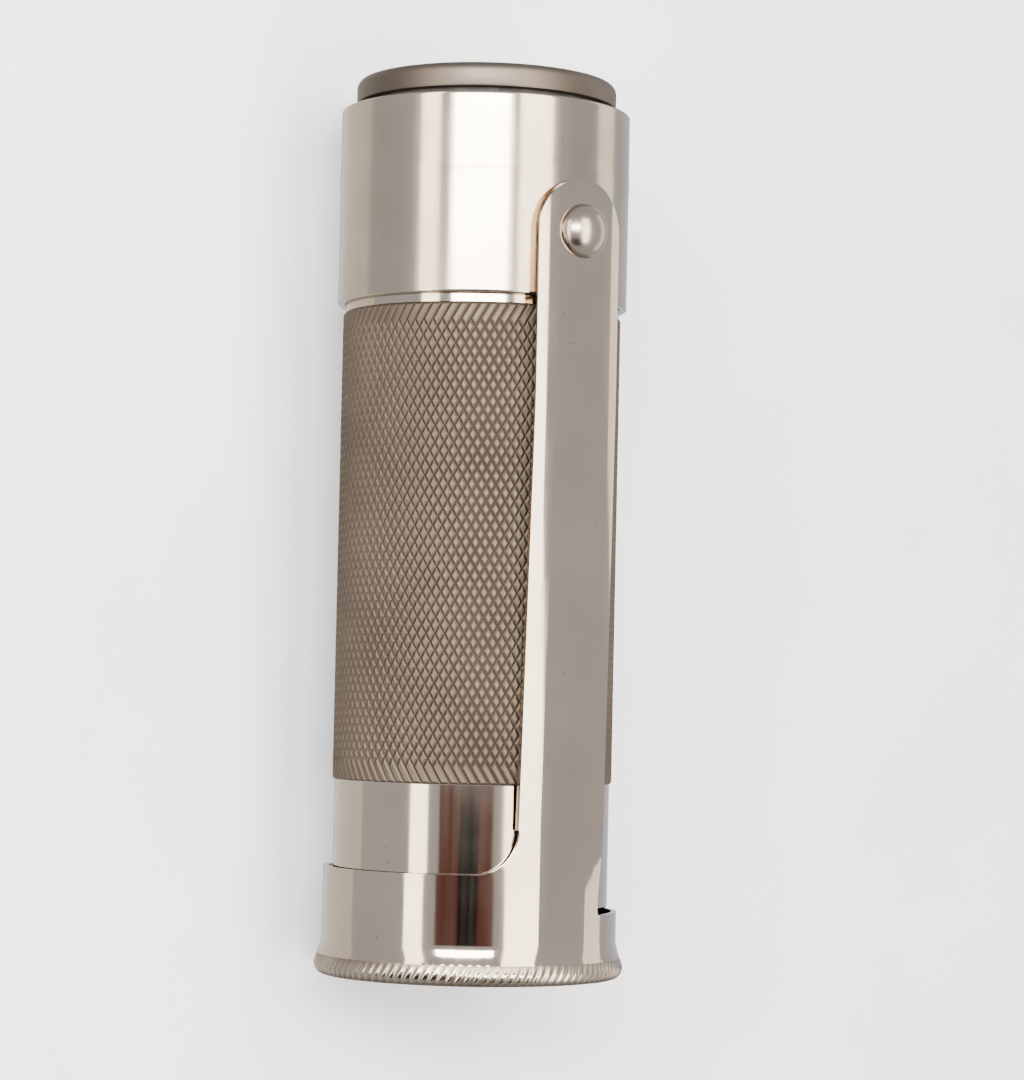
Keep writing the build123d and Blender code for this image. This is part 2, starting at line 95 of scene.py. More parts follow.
def spun(bm, verts, centre, axis, steps, closed):
    # turns a chain of points about an axis; an open chain starts and ends close to it, and its ends are filled
    following = verts[1:] + verts[:1] if closed else verts[1:]
    edges = [bm.edges.new(pair) for pair in zip(verts, following)]
    bmesh.ops.spin(bm, geom=verts + edges, cent=centre, axis=axis, angle=2 * pi, steps=steps, use_merge=True)
    bmesh.ops.remove_doubles(bm, verts=bm.verts, dist=weld)
    if not closed:
        bmesh.ops.holes_fill(bm, edges=[e for e in bm.edges if e.is_boundary], sides=0)


def turned(bm, profile, steps=128, closed=True):
    # turns a profile of (station, radius) about the lighter's long axis
    verts = [bm.verts.new(place(0, station, radius)) for station, radius in profile]
    spun(bm, verts, place(0, 0, 0), (0, 1, 0), steps, closed)


def softCorner(points, radius, steps=4):
    # rounds the corners of a closed profile of (station, radius), each into a short curve
    result = []
    count = len(points)
    for i, point in enumerate(points):
        here = Vector(point)
        back = Vector(points[i - 1]) - here
        ahead = Vector(points[(i + 1) % count]) - here
        size = min(radius, back.length * 0.45, ahead.length * 0.45)
        start, end = here + back.normalized() * size, here + ahead.normalized() * size
        for step in range(steps + 1):
            t = step / steps
            result.append(tuple((1 - t) ** 2 * start + 2 * t * (1 - t) * here + t * t * end))
    return result


def outerCorners(points, radius, steps=4):
    # the same for an open profile of four points: its two ends are left out
    return softCorner(points, radius, steps)[steps + 1:-steps - 1]


def smoothCopy(node, name, body, material, angle=30):
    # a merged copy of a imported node, so that its round faces shade smoothly
    bm = bmesh.new()
    bm.from_mesh(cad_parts[node].data)
    bmesh.ops.remove_doubles(bm, verts=bm.verts, dist=packedWeld)
    finishPiece(bm, name, body, [node], material, angle)


def carve(piece, cutter):
    # cuts a closed bmesh out of a piece, and applies the cut
    bmesh.ops.recalc_face_normals(cutter, faces=cutter.faces)
    mesh = bpy.data.meshes.new("cutter")
    cutter.to_mesh(mesh)
    cutter.free()
    tool = bpy.data.objects.new("cutter", mesh)
    bpy.context.scene.collection.objects.link(tool)
    cut = piece.modifiers.new("cut", "BOOLEAN")
    cut.operation = "DIFFERENCE"
    cut.object = tool
    cut.solver = "EXACT"
    bpy.context.view_layer.update()
    graph = bpy.context.evaluated_depsgraph_get()
    result = bpy.data.meshes.new_from_object(piece.evaluated_get(graph))
    piece.modifiers.clear()
    piece.data = result
    bpy.data.objects.remove(tool)


def smoothStep(x, low, high):
    t = min(max((x - low) / (high - low), 0), 1)
    return t * t * (3 - 2 * t)


# ---- materials

def linear(code):
    # an sRGB colour code as the linear colour that a shader takes
    values = [int(code[i:i + 2], 16) / 255 for i in (1, 3, 5)]
    return tuple(v / 12.92 if v <= 0.04045 else ((v + 0.055) / 1.055) ** 2.4 for v in values) + (1,)


def addNode(tree, kind, settings=None, **links):
    # adds a node; a setting names an attribute or else an input, and in0, in1... are inputs by number
    node = tree.nodes.new(kind)
    for key, value in (settings or {}).items():
        if hasattr(node, key):
            setattr(node, key, value)
        else:
            node.inputs[int(key[2:]) if key[2:].isdigit() and key[:2] == "in" else key].default_value = value
    for key, source in links.items():
        tree.links.new(source, node.inputs[int(key[2:]) if key[2:].isdigit() else key])
    return node


def noiseOf(tree, coords, sizeMm, detail, settings=None):
    return addNode(tree, "ShaderNodeTexNoise",
                   {"Scale": 1 / (sizeMm * mm), "Detail": detail, **(settings or {})}, Vector=coords)


def roughen(tree, shader, height, strength, depthMm):
    # a bump of the given depth on the whole surface
    bump = addNode(tree, "ShaderNodeBump", {"Strength": strength, "Distance": depthMm * mm}, Height=height)
    tree.links.new(bump.outputs[0], shader.inputs["Normal"])


def ramp(tree, source, stops):
    # a colour ramp of (place, colour code) stops
    node = addNode(tree, "ShaderNodeValToRGB", None, in0=source)
    elements = node.color_ramp.elements
    while len(elements) < len(stops):
        elements.new(0.5)
    for element, (position, code) in zip(elements, stops):
        element.position = position
        element.color = linear(code)
    return node.outputs[0]


def newMaterial(name):
    material = bpy.data.materials.new(name)
    material.use_nodes = True
    tree = material.node_tree
    shader = tree.nodes["Principled BSDF"]
    coords = addNode(tree, "ShaderNodeTexCoord").outputs["Object"]
    return material, tree, shader, coords


def axisRadius(tree, coords):
    # distance of a point from the long axis, in metres
    split = addNode(tree, "ShaderNodeSeparateXYZ", None, in0=coords)
    up = addNode(tree, "ShaderNodeMath", {"operation": "SUBTRACT", "in1": axisHeight * mm}, in0=split.outputs[2])
    flat = addNode(tree, "ShaderNodeCombineXYZ", None, in0=split.outputs[0], in2=up.outputs[0])
    return addNode(tree, "ShaderNodeVectorMath", {"operation": "LENGTH"}, in0=flat.outputs[0]).outputs["Value"]


plate = {
    "brass": "#a98952", "cloudMm": 9.0, "streakMm": 0.5, "pitMm": 1.3, "baldMm": 2.5, "buffMm": 4.0,
    "pitColour": "#4a4038", "buffDepthMm": 0.012, "streakDepthMm": 0.002, "streakStretch": 0.035,
    "grooveRoughness": 0.6,
}


def platedSurface(name, colour, tarnish, roughness, wear, scratch):
    # nickel plate on drawn and buffed brass: a warm grey mirror, very slightly clouded by handling, with faint
    # streaks along the draw, a few pits, and brass showing through where the plate has gone
    material, tree, shader, coords = newMaterial(name)
    cloud = noiseOf(tree, coords, plate["cloudMm"], 3.0)
    tone = ramp(tree, cloud.outputs["Fac"], [(0.34, tarnish), (0.62, colour)])
    bald = noiseOf(tree, coords, plate["baldMm"], 8.0, {"Roughness": 0.7, "Distortion": 0.6})
    baldMask = addNode(tree, "ShaderNodeMapRange", {"From Min": 0.68 - wear, "From Max": 0.73 - wear,
                       "To Max": 0.5}, Value=bald.outputs["Fac"])
    mixed = addNode(tree, "ShaderNodeMix", {"data_type": "RGBA"}, Factor=baldMask.outputs[0])
    tree.links.new(tone, mixed.inputs[6])
    mixed.inputs[7].default_value = linear(plate["brass"])
    shader.inputs["Metallic"].default_value = 1.0
    # streaks: noise drawn out along the body, barely deeper than the polish
    along = addNode(tree, "ShaderNodeMapping", {"Scale": (1.0, plate["streakStretch"], 1.0)}, Vector=coords)
    streak = noiseOf(tree, along.outputs[0], plate["streakMm"], 3.0)
    smear = addNode(tree, "ShaderNodeMath", {"operation": "MULTIPLY_ADD", "in1": 0.5},
                    in0=streak.outputs["Fac"], in2=cloud.outputs["Fac"])
    rough = addNode(tree, "ShaderNodeMapRange", {"From Min": 0.55, "From Max": 1.0, "To Min": roughness + 0.05,
                    "To Max": roughness - 0.03}, Value=smear.outputs[0])
    tree.links.new(rough.outputs[0], shader.inputs["Roughness"])
    # pits: small dark specks, up to about a tenth of their spacing across
    pits = addNode(tree, "ShaderNodeTexVoronoi", {"Scale": 1 / (plate["pitMm"] * mm), "Randomness": 1.0},
                   Vector=coords)
    pitDepth = addNode(tree, "ShaderNodeMapRange", {"From Min": 0.02, "From Max": 0.05}, Value=pits.outputs[0])
    speck = addNode(tree, "ShaderNodeMix", {"data_type": "RGBA"}, Factor=pitDepth.outputs[0])
    speck.inputs[6].default_value = linear(plate["pitColour"])
    tree.links.new(mixed.outputs[2], speck.inputs[7])
    tree.links.new(speck.outputs[2], shader.inputs["Base Color"])
    # the buffing wheel leaves the surface very slightly wavy
    buff = noiseOf(tree, coords, plate["buffMm"], 1.0)
    buffBump = addNode(tree, "ShaderNodeBump", {"Strength": 0.6, "Distance": plate["buffDepthMm"] * mm},
                       Height=buff.outputs["Fac"])
    lineBump = addNode(tree, "ShaderNodeBump", {"Strength": scratch, "Distance": plate["streakDepthMm"] * mm},
                       Height=streak.outputs["Fac"], Normal=buffBump.outputs[0])
    tree.links.new(lineBump.outputs[0], shader.inputs["Normal"])
    return material, tree, shader, coords, speck


def nickelPlate(*values):
    return platedSurface(*values)[0]


def groovedPlate(name, colour, tarnish, grooveColour, lowMm, highMm, roughness):
    # nickel plate over rolled teeth: bright on the tips, and darker and duller down in the grooves
    material, tree, shader, coords, mixed = platedSurface(name, colour, tarnish, roughness, 0.02, 0.1)
    # the colour runs from the groove colour at the groove's radius to the plate's own colour at the tip's radius,
    # in patches
    depth = addNode(tree, "ShaderNodeMapRange", {"From Min": lowMm * mm, "From Max": highMm * mm},
                    Value=axisRadius(tree, coords))
    patch = noiseOf(tree, coords, plate["baldMm"], 4.0)
    shifted = addNode(tree, "ShaderNodeMath", {"operation": "MULTIPLY_ADD", "in1": 0.5},
                      in0=patch.outputs["Fac"], in2=depth.outputs[0])
    clean = addNode(tree, "ShaderNodeMapRange", {"From Min": 0.15, "From Max": 0.9}, Value=shifted.outputs[0])
    grooveTint = addNode(tree, "ShaderNodeMix", {"data_type": "RGBA"}, Factor=clean.outputs[0])
    grooveTint.inputs[6].default_value = linear(grooveColour)
    tree.links.new(mixed.outputs[2], grooveTint.inputs[7])
    tree.links.new(grooveTint.outputs[2], shader.inputs["Base Color"])
    dull = addNode(tree, "ShaderNodeMapRange", {"To Min": plate["grooveRoughness"], "To Max": roughness},
                   Value=clean.outputs[0])
    tree.links.new(dull.outputs[0], shader.inputs["Roughness"])
    return material


texture = {
    # sizes of the fine patterns in the plain materials
    "blotchMm": 1.6, "toolMarkDepthMm": 0.01, "stainMm": 3.5, "hairDepthMm": 0.08, "threadMm": 0.3,
    "threadDepthMm": 0.06, "bloomMm": 1.2, "bloomDepthMm": 0.04,
    # how far from the cap's end the wick's charred part ends, and its clean part starts
    "charEndMm": 5.8, "cleanStartMm": 7.4,
}


def plainMetal(name, colour, dark, roughness, grainMm, scratch):
    # machined metal: turning or rolling marks, darker blotches where it has oxidised
    material, tree, shader, coords = newMaterial(name)
    blotch = noiseOf(tree, coords, texture["blotchMm"], 6.0)
    tree.links.new(ramp(tree, blotch.outputs["Fac"], [(0.38, dark), (0.64, colour)]), shader.inputs["Base Color"])
    shader.inputs["Metallic"].default_value = 1.0
    rough = addNode(tree, "ShaderNodeMapRange", {"From Min": 0.3, "From Max": 0.7, "To Min": roughness + 0.15,
                    "To Max": roughness - 0.05}, Value=blotch.outputs["Fac"])
    tree.links.new(rough.outputs[0], shader.inputs["Roughness"])
    marks = addNode(tree, "ShaderNodeMapping", {"Scale": (0.2, 3.0, 0.2)}, Vector=coords)
    grain = noiseOf(tree, marks.outputs[0], grainMm, 3.0)
    roughen(tree, shader, grain.outputs["Fac"], scratch, texture["toolMarkDepthMm"])
    return material


def fibreFelt(name, colour, dark, fibreMm):
    # pressed wool felt: matt, with a tangle of fine hairs, darker where fuel has stained it
    material, tree, shader, coords = newMaterial(name)
    stain = noiseOf(tree, coords, texture["stainMm"], 4.0)
    hair = noiseOf(tree, coords, fibreMm, 6.0, {"Distortion": 2.5})
    both = addNode(tree, "ShaderNodeMath", {"operation": "MULTIPLY_ADD", "in1": 0.5}, in0=hair.outputs["Fac"],
                   in2=stain.outputs["Fac"])
    tree.links.new(ramp(tree, both.outputs[0], [(0.55, dark), (0.9, colour)]), shader.inputs["Base Color"])
    shader.inputs["Roughness"].default_value = 0.95
    shader.inputs["Sheen Weight"].default_value = 0.3
    roughen(tree, shader, hair.outputs["Fac"], 0.7, texture["hairDepthMm"])
    return material


def braidedCotton():
    # braided cotton wick: off-white below, charred at the tip, where it burns
    material, tree, shader, coords = newMaterial("braidedCottonWick")
    split = addNode(tree, "ShaderNodeSeparateXYZ", None, in0=coords)
    charred, clean = ((baseY - capEnd + texture[key]) * mm for key in ("charEndMm", "cleanStartMm"))
    tip = addNode(tree, "ShaderNodeMapRange", {"From Min": charred, "From Max": clean}, Value=split.outputs[1])
    thread = noiseOf(tree, coords, texture["threadMm"], 5.0)
    burnt = addNode(tree, "ShaderNodeMath", {"operation": "MULTIPLY_ADD", "in1": 0.4, "in2": -0.2},
                    in0=thread.outputs["Fac"])
    edge = addNode(tree, "ShaderNodeMath", {"operation": "ADD"}, in0=tip.outputs[0], in1=burnt.outputs[0])
    colour = ramp(tree, edge.outputs[0], [(0.1, "#17130f"), (0.45, "#4b3a29"), (0.9, "#cbb891")])
    tree.links.new(colour, shader.inputs["Base Color"])
    shader.inputs["Roughness"].default_value = 0.9
    roughen(tree, shader, thread.outputs["Fac"], 0.6, texture["threadDepthMm"])
    return material


def agedRubber():
    # black rubber gasket: dusty grey bloom over a dull moulded surface
    material, tree, shader, coords = newMaterial("agedRubber")
    bloom = noiseOf(tree, coords, texture["bloomMm"], 5.0)
    colour = ramp(tree, bloom.outputs["Fac"], [(0.4, "#15120f"), (0.7, "#3a342e")])
    tree.links.new(colour, shader.inputs["Base Color"])
    shader.inputs["Roughness"].default_value = 0.75
    roughen(tree, shader, bloom.outputs["Fac"], 0.3, texture["bloomDepthMm"])
    return material


# each plate: name, colour, tarnish, roughness, wear and depth of its scratches
polishedPlate = nickelPlate("polishedNickelPlate", "#b0a292", "#a7998a", 0.07, 0.0, 0.4)
handledPlate = nickelPlate("handledNickelPlate", "#aea090", "#9f9182", 0.14, 0.02, 0.6)
rivetPlate = nickelPlate("rubbedNickelPlate", "#a3968a", "#877a6d", 0.24, 0.03, 0.8)
dullPlate = nickelPlate("dulledNickelPlate", "#5f564d", "#524a42", 0.48, 0.02, 1.0)
# each plate darker in its grooves: name, colour, tarnish, colour down in the grooves, radii of the groove and of
# the tip, roughness
knurledPlate = groovedPlate("knurledNickelPlate", "#61564b", "#574d43", "#423930", 9.52, 9.65, 0.6)
milledPlate = groovedPlate("milledNickelPlate", "#a69989", "#968979", "#54493d", 10.4, 10.66, 0.2)
# each plain metal: name, colour, dark blotches, roughness, grain and depth of its marks
bareBrass = plainMetal("turnedBrass", "#b08a4e", "#6f552f", 0.34, 0.2, 0.5)
bladeSteel = plainMetal("hardenedSteel", "#6b6864", "#34302c", 0.38, 0.15, 0.6)
brightSteel = plainMetal("brightSteel", "#b4b0aa", "#7d766c", 0.3, 0.15, 0.4)
flintAlloy = plainMetal("ferroceriumAlloy", "#4c4742", "#2c2824", 0.6, 0.3, 0.8)
feltCloth = fibreFelt("pressedWoolFelt", "#b7a98f", "#6f6350", 0.12)
cottonWool = fibreFelt("cottonWadding", "#e6e0d3", "#b9ad98", 0.2)
wickBraid = braidedCotton()
sealRubber = agedRubber()
print("materials made")

# ---- the tube, with its rolled grip

grip = {
    "toothAround": 92, "toothAlong": 29, "start": bandLength + 0.6, "end": capEnd - 13.3, "root": 9.53, "tip": 9.65,
    "flank": 0.15, "plainRadius": 9.5, "bore": 9.1, "baseEnd": 0.3, "tubeEnd": capEnd - 4.85,
    "notchWidth": 8.0, "notchDepth": 4.4, "notchRound": 2.0, "notchTop": -7.0, "oneWayRows": 1,
    "grooveGap": 0.04, "shoulder": 0.3, "edge": 0.08,
}


def makeTube():
    g = grip
    bm = bmesh.new()
    # a flat sheet of cells; poking each cell and dissolving its sides leaves diamonds
    bmesh.ops.create_grid(bm, x_segments=g["toothAround"], y_segments=g["toothAlong"], size=1)
    length = g["end"] - g["start"]
    sides = bm.edges[:]
    bmesh.ops.poke(bm, faces=bm.faces[:])
    for vert in bm.verts:
        angle = (vert.co.x + 1) * pi
        station = g["start"] + (vert.co.y + 1) / 2 * length
        vert.co = place(g["root"] * sin(angle), station, g["root"] * cos(angle))
    bmesh.ops.remove_doubles(bm, verts=bm.verts, dist=weld)
    sides = [e for e in sides if e.is_valid and not e.is_boundary]
    seam = [e for e in bm.edges if not e.is_boundary and len(e.link_faces) == 2 and e not in sides
            and (abs(e.verts[0].co.y - e.verts[1].co.y) < 1e-8
                 or (e.verts[0].co - e.verts[1].co).cross(Vector((0, 1, 0))).length < 1e-9)]
    bmesh.ops.dissolve_edges(bm, edges=sides + seam, use_verts=False)
    # the two rollers overrun each other, so the grooves run one way only at each end
    cell = length / g["toothAlong"]
    oneWay = []
    for edge in bm.edges:
        a, b = (v.co / mm for v in edge.verts)
        if abs(a.y - b.y) < 1e-4:
            continue
        low, high = (a, b) if a.y < b.y else (b, a)
        lean = (high - axisCentre(high.y)).cross(low - axisCentre(low.y)).y
        station = baseY - (a.y + b.y) / 2
        nearBase = station < g["start"] + g["oneWayRows"] * cell
        nearCap = station > g["end"] - g["oneWayRows"] * cell
        if (nearBase and lean > 0) or (nearCap and lean < 0):
            oneWay.append(edge)
    bmesh.ops.dissolve_edges(bm, edges=oneWay, use_verts=True)
    bmesh.ops.recalc_face_normals(bm, faces=bm.faces)
    outward = sum(f.normal.dot(f.calc_center_median() - axisCentre(f.calc_center_median().y / mm) * mm)
                  for f in bm.faces)
    if outward < 0:
        bmesh.ops.reverse_faces(bm, faces=bm.faces)
    bmesh.ops.inset_individual(bm, faces=bm.faces[:], thickness=g["flank"] * mm,
                               depth=(g["tip"] - g["root"]) * mm, use_even_offset=True)
    rims = [e for e in bm.edges if e.is_boundary]
    # the plain tube grows from the grip's two ends, then turns in and meets itself along the bore
    loops = []
    middle = (g["start"] + g["end"]) / 2
    for isBase in (True, False):
        edges = [e for e in rims if (stationOf(e.verts[0]) < middle) == isBase]
        far = g["baseEnd"] if isBase else g["tubeEnd"]
        near = g["start"] - g["grooveGap"] if isBase else g["end"] + g["grooveGap"]
        way = -1 if isBase else 1
        for station, radius in ((near, g["plainRadius"]), (near + way * g["shoulder"], g["plainRadius"]),
                                (far - way * 0.1, g["plainRadius"]), (far, g["plainRadius"] - g["edge"]),
                                (far, g["bore"] + g["edge"]), (far - way * g["edge"], g["bore"])):
            made = bmesh.ops.extrude_edge_only(bm, edges=edges)["geom"]
            for vert in (v for v in made if isinstance(v, bmesh.types.BMVert)):
                offset = vert.co / mm - axisCentre(vert.co.y / mm)
                offset.y = 0
                offset = offset.normalized() * radius
                vert.co = place(offset.x, station, offset.z)
            edges = [e for e in made if isinstance(e, bmesh.types.BMEdge)]
        loops += edges
    bmesh.ops.bridge_loops(bm, edges=loops)
    tube = finishPiece(bm, "tankTube", "case", ["tank_tube"], polishedPlate, 28)
    tube.data.materials.append(knurledPlate)
    for face in tube.data.polygons:
        station = baseY - face.center.y / mm
        offset = Vector(face.center) / mm - axisCentre(0)
        outside = sqrt(offset.x ** 2 + offset.z ** 2) > (g["bore"] + g["plainRadius"]) / 2
        if outside and g["start"] - g["grooveGap"] / 2 < station < g["end"] + g["grooveGap"] / 2:
            face.material_index = 1
    # thumb notch through the flame guard's underside
    cutter = bmesh.new()
    bmesh.ops.create_cube(cutter, size=1)
    for vert in cutter.verts:
        station = g["tubeEnd"] + 1 + (vert.co.y - 0.5) * (g["notchDepth"] + 1)
        vert.co = place(vert.co.x * g["notchWidth"], station, g["notchTop"] + (vert.co.z - 0.5) * 6)
    deep = [e for e in cutter.edges if all(stationOf(v) < g["tubeEnd"] - 1 for v in e.verts)
            and abs(e.verts[0].co.z - e.verts[1].co.z) > 1e-4]
    bmesh.ops.bevel(cutter, geom=deep, offset=g["notchRound"] * mm, affect="EDGES", segments=8, profile=0.5,
                    material=-1)
    carve(tube, cutter)


makeTube()
print("tube and grip made")

# ---- base band, plug and gasket

band = {
    "length": bandLength, "radius": 10.08, "bore": 9.5, "round": 0.22, "corner": 10.06,
    "ridge": 4.8, "ridgeHeight": 0.045, "ridgeWidth": 0.35,
}


def makeBand():
    b = band
    outline = softCorner([(0, b["bore"]), (0, b["corner"]), (b["length"], b["corner"]), (b["length"], b["bore"])],
                         b["round"])
    # a faint raised line where the drawn band steps over the filler ring
    top = []
    for step in range(41):
        station = b["round"] + (b["length"] - 2 * b["round"]) * step / 40
        swell = b["ridgeHeight"] / (1 + ((station - b["ridge"]) / b["ridgeWidth"]) ** 2)
        top.append((station, b["radius"] - b["ridgeHeight"] + swell))
    lower = [p for p in outline if p[1] < b["corner"] - 0.001]
    rising = [p for p in lower if p[0] < b["ridge"]]
    falling = [p for p in lower if p[0] > b["ridge"]]
    bm = bmesh.new()
    turned(bm, rising + top + falling, 160)
    finishPiece(bm, "baseBand", "case", ["base_band"], handledPlate, 40)


makeBand()

plug = {
    "radius": 9.05, "edge": 1.65, "round": 0.6, "dome": 0.35, "stand": 0.5, "under": 0.15,
    "thread": 7.5, "threadStart": 0.6, "threadEnd": 4.1, "pitch": 0.75, "threadDepth": 0.38, "wall": 1.1,
    "slot": (12.0, 1.3, 0.8),  # length, width, depth
}


def makePlug():
    p = plug
    bm = bmesh.new()
    top = -p["stand"] - p["edge"]
    curve = (p["radius"] ** 2 + p["dome"] ** 2) / (2 * p["dome"])  # radius of the dome's arc
    dome = []
    for step in range(13):
        radius = (p["radius"] - p["round"]) * (0.003 + 0.997 * step / 12)
        dome.append((top - p["dome"] + curve - sqrt(curve ** 2 - radius ** 2), radius))
    start = dome.pop()
    edge = [start]
    for step in range(1, 9):
        a = pi / 2 * step / 8
        edge.append((start[0] + p["round"] * (1 - cos(a)), p["radius"] - p["round"] * (1 - sin(a))))
    edge += [(-p["stand"] - p["under"], p["radius"]), (-p["stand"] - 0.04, p["radius"] - 0.04),
             (-p["stand"], p["radius"] - p["under"])]
    threads = []
    station = p["threadStart"]
    while station < p["threadEnd"] - p["pitch"]:
        threads += [(station, p["thread"]), (station + p["pitch"] / 2, p["thread"] - p["threadDepth"])]
        station += p["pitch"]
    profile = dome + edge + [(-p["stand"], p["thread"])] + threads + [
        (p["threadEnd"] - 0.2, p["thread"]), (p["threadEnd"], p["thread"] - 0.2),
        (p["threadEnd"], p["thread"] - p["wall"]), (-p["stand"], p["thread"] - p["wall"]), (-p["stand"], pole)]
    turned(bm, profile, closed=False)
    piece = finishPiece(bm, "basePlug", "plug", ["base_plug"], dullPlate, 35)
    # coin slot: a prism with round ends
    cutter = bmesh.new()
    length, width, depth = p["slot"]
    outline = []
    for side in (1, -1):
        for step in range(13):
            a = pi * step / 12
            outline.append((side * (length - width + width * sin(a)) / 2, side * width / 2 * cos(a)))
    below, above = ([cutter.verts.new(place(x, station, z)) for x, z in outline]
                    for station in (top - p["dome"] + depth, top - p["dome"] - 1))
    cutter.faces.new(below)
    cutter.faces.new(above[::-1])
    for i in range(len(outline)):
        j = (i + 1) % len(outline)
        cutter.faces.new((below[i], above[i], above[j], below[j]))
    carve(piece, cutter)


makePlug()
for node, name, body, slot, material in (
        ("plug_gasket", "plugGasket", "plug_travel", "seal_rubber", sealRubber),
        ("filler_ring", "fillerRing", "case", "bare_brass", bareBrass)):
    smoothCopy(node, name, body, material)
print("base made")

# ---- cap: one blank of sheet, pressed to shape, with its arm, flare and milled rim

cap = {
    "pivot": 9.1, "armHalf": 3.5, "armTop": 10.83, "armUnder": 10.23, "armSag": 0.45, "flatEnd": 20.6,
    "wallOut": 10.15, "wallIn": 9.8, "lead": capEnd - 7.35, "trail": capEnd - 4.55, "corner": 3.0,
    "trailSag": 0.2, "settle": 6.0, "columns": 96,
    "flare": capEnd - 2.7, "rimStart": capEnd - 1.3, "end": capEnd, "rim": 10.66, "overlap": 0.02,
    "teeth": 110, "toothDepth": 0.1, "toothLean": 4.5, "bead": 0.75, "beadDrop": 0.6,
}


def capPoint(u, station, outside):
    # where a point of the flat blank lies once pressed: u is measured across it at the wall's radius
    c = cap
    angle = u / c["wallOut"]
    radius = c["wallOut"] if outside else c["wallIn"]
    webStart = c["lead"] - c["corner"]
    run = min(max((station - c["flatEnd"]) / (webStart - c["flatEnd"]), 0), 1)
    x = max(min(u, c["armHalf"]), -c["armHalf"])
    # heights of the arm's middle, and how far each face falls towards the edge
    crown = c["armTop"] + (c["wallOut"] - c["armTop"]) * run if outside else \
        c["armUnder"] + (c["wallIn"] - c["armUnder"]) * run
    share = (x / c["armHalf"]) ** 2
    fullSag = radius - sqrt(radius ** 2 - c["armHalf"] ** 2)
    if x < 0:
        sag = (c["armSag"] + (fullSag - c["armSag"]) * run if outside else fullSag * run) * share
    else:
        sag = c["armSag"] + (c["trailSag"] - c["armSag"]) * run if outside else 0
        sag = (sag + (fullSag - sag) * smoothStep(station, c["trail"] - c["settle"], c["trail"] - 0.3)) * share
    # the trailing edge stands a little off the wall's curve until the wall closes over it
    onArm = station < webStart or (u > 0 and station < c["trail"])
    if onArm and abs(u) <= c["armHalf"] + 1e-6:
        return place(x, station, crown - sag)
    return place(radius * sin(angle), station, radius * cos(angle))


